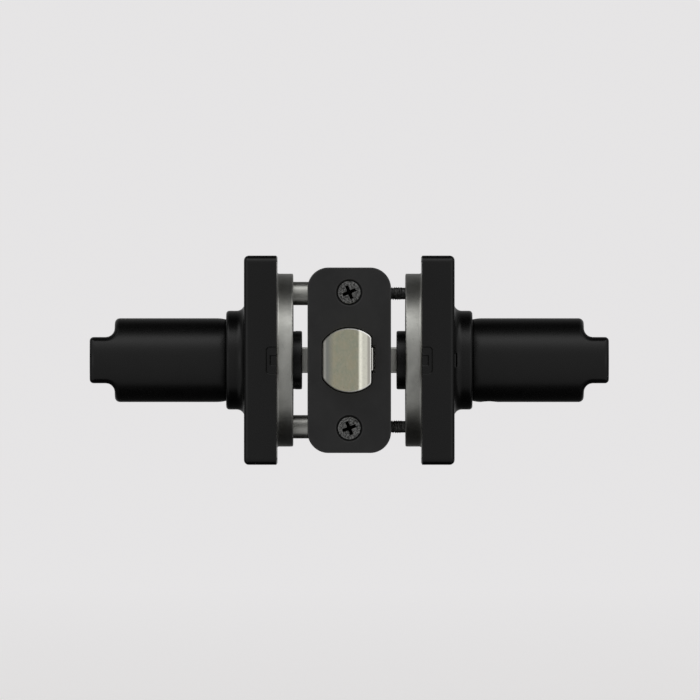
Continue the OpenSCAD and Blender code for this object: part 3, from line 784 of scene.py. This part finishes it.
def cross_recess(u, v, depth, size, deep):
    """A Phillips recess: two tapering arms and a deeper middle."""
    long, wide = size - 0.55 * depth, 0.22 * size - 0.10 * depth
    arm = np.maximum(np.abs(u) - long, np.abs(v) - wide)
    other = np.maximum(np.abs(v) - long, np.abs(u) - wide)
    middle = np.hypot(u, v) - 0.37 * size + 0.30 * depth
    return np.maximum(np.minimum(np.minimum(arm, other), middle), depth - deep) * 0.85


def thread(along, u, v, outer, inner, pitch):
    """A screw thread about the along axis."""
    turn = along / pitch - np.arctan2(v, u) / (2 * math.pi)
    ridge = 1 - 2 * np.abs(turn - np.floor(turn) - 0.5)
    return (np.hypot(u, v) - inner - (outer - inner) * np.clip(1.6 * ridge - 0.4, 0, 1)) * 0.6


WOOD_L, WOOD_POINT, WOOD_SHANK_R, WOOD_ROOT_R, WOOD_PITCH = 19.0, 4.5, 2.0, 1.35, 1.45
WOOD_HEAD_H, WOOD_HEAD_GAP, WOOD_PLAIN_R, WOOD_PLAIN_L = 2.2, 0.25, 1.9, 5.5
CROSS_TURN = 22


def wood_screw_field(x, y, z):
    """Flat-head wood screw."""
    depth, r = y - EDGE, np.hypot(x, z)
    head = (r - SCREW_HEAD_R + WOOD_HEAD_GAP + 0.80 * depth) * 0.78
    head = meet(head, -depth + 0.05 + 0.012 * r * r, 0.15)
    head = np.maximum(head, depth - WOOD_HEAD_H)
    taper = np.clip((WOOD_L - depth) / WOOD_POINT, 0.05, 1)
    body = thread(depth, x, z, WOOD_SHANK_R * taper, WOOD_ROOT_R * taper, WOOD_PITCH)
    body = np.maximum(body, slab(depth, 1.0, WOOD_L - 0.1))
    neck = np.maximum(r - WOOD_PLAIN_R, slab(depth, 1.0, WOOD_PLAIN_L))
    u, v = turned(x, z, CROSS_TURN)
    return cut(np.minimum(np.minimum(head, body), neck), cross_recess(u, v, depth, 2.25, 1.7), 0.08)


# ---------------------------------------------------------------- latch body
BEVEL_ROUND, RIM_ROUND = 0.7, 0.4
TUBE_WALL = 0.8


def bolt_field(x, y, z):
    """Bolt with round sides, a flat on each side, a bevel and a guide rib on the straight side."""
    barrel, rib = bolt_outline(x, z, r=0.45)
    bevel = ((BEVEL_TIP - x) - (y - BOLT_NOSE)) / math.sqrt(2)
    front = meet(BOLT_NOSE - y, bevel, BEVEL_ROUND)
    body = meet(barrel, np.maximum(front, y - BOLT_REAR), RIM_ROUND)
    rib = meet(np.maximum(rib, 5 - x), slab(y, BOLT_NOSE + 0.9, BOLT_REAR), 0.2)
    rod = np.maximum(np.hypot(x, z) - ROD_R - 0.05, BOLT_REAR - 4 - y)
    return np.maximum(np.minimum(body, rib), -rod)


def tube_field(x, y, z):
    """Thin tube with eased rims."""
    across = slab(np.hypot(x, z), TUBE_HIGH[0] - TUBE_WALL, TUBE_HIGH[0])
    return meet(across, slab(y, TUBE_LOW[1], TUBE_HIGH[1]), 0.25)


def seat_field(x, y, z):
    """Disc at the tube's rear end, with a hole for the tail rod."""
    disc = meet(np.hypot(x, z) - SEAT_HIGH[0], slab(y, SEAT_LOW[1], SEAT_HIGH[1]), 0.3)
    return cut(disc, np.hypot(x, z) - ROD_R - 0.3, 0.3)


CASE_WALL, CASE_FRONT_T, JOURNAL_R = 1.2, 1.2, 6.8


def case_field(x, y, z):
    """Two side plates that carry the cam, joined at the front and the rear."""
    outer = box_field(x, y, z, CASE_LOW, CASE_HIGH, 0.5)
    low, high = CASE_LOW[1] + CASE_FRONT_T, CASE_HIGH[1] - CASE_FRONT_T
    inner = rectangle_field(x, y - (low + high) / 2, CASE_HIGH[0] - CASE_WALL, (high - low) / 2, 0.3)
    body = cut(outer, inner, 0.25)
    body = cut(body, np.maximum(np.hypot(x, z) - ROD_R - 0.3, y), 0.2)
    return cut(body, np.hypot(y, z) - JOURNAL_R - 0.06, 0.2)


def rod_field(x, y, z):
    """The bolt's tail rod, with a head behind the retractor."""
    r = np.hypot(x, z)
    stem = meet(r - ROD_R, slab(y, ROD_LOW[1], ROD_HIGH[1] - 0.3), 0.4)
    head = meet(r - ROD_HIGH[0], slab(y, ROD_HIGH[1] - 1, ROD_HIGH[1]), 0.45)
    return np.minimum(stem, head)


WEB_BACK, FORK_WALL, FORK_IN_Z, HOOK_SUM = -26.2, 1.0, 7.2, 1.6


def retractor_field(x, y, z):
    """Fork above and below the cam, each with a hook that a finger pulls."""
    up, side = np.abs(z), np.abs(x)
    web = box_field(x, y, z, FORK_LOW, (FORK_HIGH[0], WEB_BACK, FORK_HIGH[2]), 0.25)
    wall = box_field(side, y, up, (FORK_HIGH[0] - FORK_WALL, FORK_LOW[1], FORK_IN_Z), FORK_HIGH, 0.2)
    hook = np.maximum(slab(up, FORK_IN_Z, FORK_HIGH[2]), side - FORK_HIGH[0] + FORK_WALL / 2)
    hook = meet(np.maximum(hook, y - FORK_HIGH[1]), (HOOK_SUM - y - up) / math.sqrt(2), 0.2)
    body = join(np.minimum(join(web, wall, 0.4), wall), hook, 0.3)
    return cut(body, np.maximum(np.hypot(x, z) - ROD_R - 0.05, y + 20), 0.2)


FINGER_R, FINGER_TIP_R, FINGER_ROOT_R, FINGER_HALF = 11.0, 1.4, 2.0, 1.9


def cam_field(x, y, z):
    """Hub on the spindle with a finger above and below."""
    hub = meet(np.hypot(y, z) - JOURNAL_R, np.abs(x) - CAM_HIGH[0], 0.3)
    v, w = turned(y, np.abs(z), LEVER_TURN)
    blade = np.abs(v) - FINGER_ROOT_R + (FINGER_ROOT_R - FINGER_TIP_R) * w / FINGER_R
    blade = np.minimum(np.maximum(blade, slab(w, 0, FINGER_R)), np.hypot(v, w - FINGER_R) - FINGER_TIP_R)
    finger = meet(blade, np.abs(x) - FINGER_HALF, 0.25)
    return cut(join(hub, finger, 0.8), rectangle_field(y, z, SOCKET_HALF, SOCKET_HALF, 0.3), 0.2)


# ---------------------------------------------------------------- springs
def return_spring(name):
    """Torsion coil round the bearing, whose legs turn outwards to straddle the tabs."""
    coil_r, wire_r, pitch, turns, leg_z, leg_end = 13.0, 0.6, 1.35, 3, 2.3, 18.0
    start = FACE + LINER_T + 0.15 + wire_r
    first = math.asin(leg_z / coil_r)
    angles = np.linspace(first, 2 * math.pi * turns - first, 48 * turns)
    share = (angles - first) / (angles[-1] - first)
    along = start + pitch * turns * share
    coil = np.stack([along, coil_r * np.cos(angles), coil_r * np.sin(angles)], 1)
    out = np.linspace(0, 1, 7)[1:, None] * (0, leg_end - coil[0, 1], 0)
    path = np.concatenate([(coil[0] + out)[::-1], coil, coil[-1] + out])
    return tube_along(name, path, wire_r, (1, 0, 0), 14), start, start + pitch * turns


LATCH_COIL_R, LATCH_WIRE_R, LATCH_TURNS, COIL_GAP = 4.0, 0.4, 8, 0.05


def make_springs():
    """The two return springs, the outside one mirrored, and the latch's coil spring."""
    for side, sign in (("inside", 1), ("outside", -1)):
        made, start, end = return_spring(side + "_torsion_spring")
        if sign < 0:
            made.data.transform(Matrix.Scale(-1, 4, (1, 0, 0)))
            made.data.flip_normals()
        finish_piece(made, None, "spring_wire", SPRING, side + "_return_spring")
        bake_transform(made)
    low, high = BOLT_REAR + LATCH_WIRE_R + COIL_GAP, SEAT_LOW[1] - LATCH_WIRE_R - COIL_GAP
    angles = np.linspace(0, 2 * math.pi * LATCH_TURNS, 36 * LATCH_TURNS)
    along = np.linspace(low, high, len(angles))
    path = np.stack([LATCH_COIL_R * np.cos(angles), along, LATCH_COIL_R * np.sin(angles)], 1)
    made = tube_along("latch_coil_spring", path, LATCH_WIRE_R, (0, 1, 0), 12)
    finish_piece(made, "chassis", "spring_wire", SPRING, "latch_spring")
    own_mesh(made)


# ---------------------------------------------------------------- all the pieces
def solid(name, field, low, high, fine, coarse=(0, 0, 0), marks=((), (), ())):
    """A piece from its field. An axis with a coarse step is fine only near its ends and its marks."""
    grid = []
    for a in range(3):
        grid.append(steps(low[a], high[a], fine, coarse[a] or fine, marks[a]))
    return skin(name, field, *grid)


def pair(name, field, centre_z, low, high, fine, coarse=(0, 0, 0)):
    """Two copies of a piece, at +centre_z and -centre_z."""
    for end, sign in (("_top", 1), ("_bottom", -1)):
        made = solid(name + end, field, low, high, fine, coarse)
        made.data.transform(Matrix.Translation((0, 0, sign * centre_z * MM)))
        yield made


def both_sides(name, field, low, high, fine, coarse, slot, paint, node):
    """A piece on the inside handle and its mirror image on the outside one."""
    made = solid("inside_" + name, field, low, high, fine, coarse)
    copy = mirrored(made, "outside_" + name, keep=True)
    for thing, side in ((made, "inside_"), (copy, "outside_")):
        finish_piece(thing, side + "handle", slot, paint, side + node)


def make_sides():
    """The liners, and the return cams and retaining rings on the levers' shanks."""
    marks = ([FACE, FACE + LINER_T], [-RING_R, RING_R, -POST_Z, 0], [-RING_R, RING_R, -POST_Z, POST_Z])
    for side, hole_r in (("inside", M4_R + 0.2), ("outside", POST_R + 0.05)):
        made = solid(side + "_liner_plate", lambda x, y, z: liner_field(x, y, z, hole_r),
                     LINER_LOW, LINER_HIGH, 0.4, (0.4, 0.6, 0.6), marks)
        if side == "outside":
            made = mirrored(made, "outside_liner_pressing")
        finish_piece(made, "chassis", "zinc_plate", ZINC, side + "_liner")
    both_sides("keyed_plate", return_cam_field, RETURN_CAM_LOW, RETURN_CAM_HIGH, 0.25, (0.25, 0.5, 0.5),
               "zinc_plate", ZINC, "return_cam")
    both_sides("snap_ring", clip_field, CLIP_LOW, CLIP_HIGH, 0.22, (0.22, 0.4, 0.4),
               "spring_wire", SPRING, "retaining_ring")


def round_ends(start, end, r):
    """The corners of a rod's box, for a rod along the X axis."""
    return (start, -r, -r), (end, r, r)


def make_fasteners():
    """The posts, the screws, the spindle and its pin."""
    low, high = round_ends(POSTS_LOW[0], POSTS_HIGH[0], POST_HEAD_R)
    for made in pair("threaded_post", post_field, POST_Z, low, high, 0.2, (0.2, 0.35, 0.35)):
        finish_piece(made, "chassis", "zinc_plate", ZINC, "outside_posts")
    low, high = round_ends(MACHINE_LOW[0], MACHINE_HIGH[0], MACHINE_HEAD_R)
    for made in pair("machine_screw", machine_screw_field, POST_Z, low, high, 0.18):
        finish_piece(made, "chassis", "dark_screw", OXIDE, "mounting_screws")
    low, high = (-SCREW_HEAD_R, EDGE, -SCREW_HEAD_R), (SCREW_HEAD_R, WOOD_HIGH[1], SCREW_HEAD_R)
    for made in pair("wood_screw", wood_screw_field, SCREW_Z, low, high, 0.16):
        finish_piece(made, "chassis", "dark_screw", HEAD_OXIDE, "faceplate_screws")
    made = solid("socket_screw", set_screw_field, SET_SCREW_LOW, SET_SCREW_HIGH, 0.14)
    finish_piece(made, "inside_handle", "dark_screw", OXIDE, "inside_set_screw")
    made = solid("slotted_pin", pin_field, PIN_LOW, PIN_HIGH, 0.12, (0.12, 0.12, 0.5))
    finish_piece(made, "outside_handle", "spring_wire", SPRING, "spindle_pin")
    made = solid("square_spindle", spindle_field, SPINDLE_LOW, SPINDLE_HIGH, 0.25, (1.2, 0.25, 0.25),
                 ([PIN_X], (), ()))
    finish_piece(made, "outside_handle", "zinc_plate", ZINC, "spindle")


def make_latch():
    """The latch's pieces apart from its screws and its spring."""
    rows = [
        ("faceplate", faceplate_field, PLATE_LOW, PLATE_HIGH, 0.28, (0, 0, 0), "chassis", "black_coat",
         PLATE_BLACK, "latch_faceplate"),
        ("backing_plate", backplate_field, BACK_LOW, BACK_HIGH, 0.3, (0, 0, 0), "chassis", "zinc_plate",
         ZINC, "latch_backplate"),
        ("spring_bolt", bolt_field, BOLT_LOW, BOLT_HIGH, 0.25, (0, 0, 0), "bolt", "bolt_metal",
         NICKEL, "latch_bolt"),
        ("drawn_tube", tube_field, TUBE_LOW, TUBE_HIGH, 0.3, (0, 1.2, 0), "chassis", "zinc_plate",
         DRAWN_ZINC, "latch_tube"),
        ("spring_seat_disc", seat_field, SEAT_LOW, SEAT_HIGH, 0.3, (0, 0, 0), "chassis", "zinc_plate",
         ZINC, "latch_spring_seat"),
        ("cam_case", case_field, CASE_LOW, CASE_HIGH, 0.3, (0, 0.6, 0), "chassis", "zinc_plate",
         ZINC, "latch_case"),
        ("headed_rod", rod_field, ROD_LOW, ROD_HIGH, 0.25, (0, 1.2, 0), "bolt", "zinc_plate",
         ZINC, "latch_tail_rod"),
        ("forked_retractor", retractor_field, FORK_LOW, FORK_HIGH, 0.25, (0, 0, 0), "bolt", "zinc_plate",
         ZINC, "latch_retractor"),
        ("fingered_cam", cam_field, CAM_LOW, CAM_HIGH, 0.25, (0.4, 0, 0), "cam", "zinc_plate",
         CAST_ZINC, "latch_cam"),
    ]
    for name, field, low, high, fine, coarse, body, slot, paint, node in rows:
        finish_piece(solid(name, field, low, high, fine, coarse), body, slot, paint, node)


make_levers()
make_roses()
make_sides()
make_fasteners()
make_latch()
make_springs()


# ---------------------------------------------------------------- camera, floor and light
def make_camera():
    """A long lens square to the door's edge, aimed a little above the spindle."""
    distance, frame_width, sensor = 5.0, 0.2154, 36.0
    aim = Vector((0.00022, 0, 0.00312))
    data = bpy.data.cameras.new("camera")
    data.sensor_width = sensor
    data.lens = sensor * distance / frame_width
    data.clip_end = 50
    camera = bpy.data.objects.new("camera", data)
    bpy.context.scene.collection.objects.link(camera)
    camera.location = aim + Vector((0, -distance, 0))
    camera.rotation_euler = (math.radians(90), 0, 0)
    bpy.context.scene.camera = camera


def make_floor():
    """A pale floor a little under the levers' lowest reach, which fades into the backdrop far away."""
    floor_z, half = -0.115, 40.0
    mesh = bpy.data.meshes.new("floor")
    corners = [(-half, -half), (half, -half), (half, half), (-half, half)]
    mesh.from_pydata([(x, y, floor_z) for x, y in corners], [], [(0, 1, 2, 3)])
    floor = bpy.data.objects.new("floor", mesh)
    bpy.context.scene.collection.objects.link(floor)
    paint, tree, shader = material("pale_floor", (0.60, 0.59, 0.59), 0.9, specular=0.1)
    shader.inputs["Emission Color"].default_value = (0.80, 0.79, 0.79, 1)
    shader.inputs["Emission Strength"].default_value = FLOOR_GLOW
    where = tree.nodes.new("ShaderNodeTexCoord")
    distance = tree.nodes.new("ShaderNodeVectorMath")
    distance.operation = "LENGTH"
    tree.links.new(where.outputs["Object"], distance.inputs[0])
    far = tree.nodes.new("ShaderNodeEmission")
    far.inputs["Color"].default_value = BACKDROP
    fade = tree.nodes.new("ShaderNodeMixShader")
    tree.links.new(rise(tree, distance.outputs["Value"], FADE_START, FADE_END), fade.inputs[0])
    tree.links.new(shader.outputs[0], fade.inputs[1])
    tree.links.new(far.outputs[0], fade.inputs[2])
    tree.links.new(fade.outputs[0], tree.nodes["Material Output"].inputs["Surface"])
    floor.data.materials.append(paint)
    floor.visible_glossy = False


FLOOR_GLOW = 0.52
FADE_START, FADE_END = 0.5, 3.0
BACKDROP = (0.79, 0.78, 0.785, 1)
# Light by height: pairs of elevation in degrees and brightness. The front is the side of the door's edge.
FRONT_LIGHT = [(-90, 0.004), (-76, 0.02), (-66, 0.40), (-40, 0.50), (0, 0.56), (20, 0.58), (34, 0.72),
               (46, 1.15), (54, 1.60), (66, 1.45), (76, 0.25), (84, 0.01)]
REAR_LIGHT = [(-90, 0.004), (-60, 0.012), (-48, 0.024), (-28, 0.026), (-10, 0.25), (0, 0.48), (10, 0.36),
              (22, 0.20), (45, 0.11), (54, 0.075), (62, 0.02), (88, 0.004)]
# Near the horizontal the light also changes with the angle from the front: a bright strip on each side.
SIDE_LIGHT = [(0, 1.0), (22, 1.05), (36, 1.55), (48, 1.80), (62, 1.60), (76, 0.65), (88, 0.36),
              (105, 0.33), (130, 0.25), (155, 1.0)]
LEVEL_BAND = [(-20, 0.0), (-7, 1.0), (7, 1.0), (20, 0.0)]


def half_sine(degrees):
    """Where an elevation lies on a scale from 0, straight down, to 1, straight up."""
    return 0.5 + 0.5 * math.sin(math.radians(degrees))


def make_light():
    """A soft studio: a long bright strip high in front, pale walls all round, dark above and below."""
    world = bpy.data.worlds.new("studio")
    bpy.context.scene.world = world
    world.use_nodes = True
    tree = world.node_tree
    tree.nodes.clear()
    where = tree.nodes.new("ShaderNodeTexCoord")
    parts = tree.nodes.new("ShaderNodeSeparateXYZ")
    tree.links.new(where.outputs["Generated"], parts.inputs[0])
    shares = {}
    for axis in ("Y", "Z"):
        half = tree.nodes.new("ShaderNodeMath")
        half.operation = "MULTIPLY_ADD"
        half.inputs[1].default_value = 0.5
        half.inputs[2].default_value = 0.5
        tree.links.new(parts.outputs[axis], half.inputs[0])
        shares[axis] = half.outputs[0]
    front = ramp(tree, shares["Z"], [(half_sine(angle), level) for angle, level in FRONT_LIGHT])
    rear = ramp(tree, shares["Z"], [(half_sine(angle), level) for angle, level in REAR_LIGHT])
    side = ramp(tree, shares["Y"], [(half_sine(angle - 90), level) for angle, level in SIDE_LIGHT])
    band = ramp(tree, shares["Z"], [(half_sine(angle), level) for angle, level in LEVEL_BAND])
    light = tree.nodes.new("ShaderNodeBackground")
    behind = ramp(tree, shares["Y"], [(0.47, 0.0), (0.58, 1.0)])
    tree.links.new(mix(tree, behind, front, rear), light.inputs["Color"])
    tree.links.new(mix(tree, band, (1.0, 1.0, 1.0), side), light.inputs["Strength"])
    seen = tree.nodes.new("ShaderNodeBackground")
    seen.inputs["Color"].default_value = BACKDROP
    rays = tree.nodes.new("ShaderNodeLightPath")
    pick = tree.nodes.new("ShaderNodeMixShader")
    tree.links.new(rays.outputs["Is Camera Ray"], pick.inputs[0])
    tree.links.new(light.outputs[0], pick.inputs[1])
    tree.links.new(seen.outputs[0], pick.inputs[2])
    out = tree.nodes.new("ShaderNodeOutputWorld")
    tree.links.new(pick.outputs[0], out.inputs["Surface"])


make_camera()
make_floor()
make_light()
bpy.context.scene.view_settings.view_transform = "Standard"
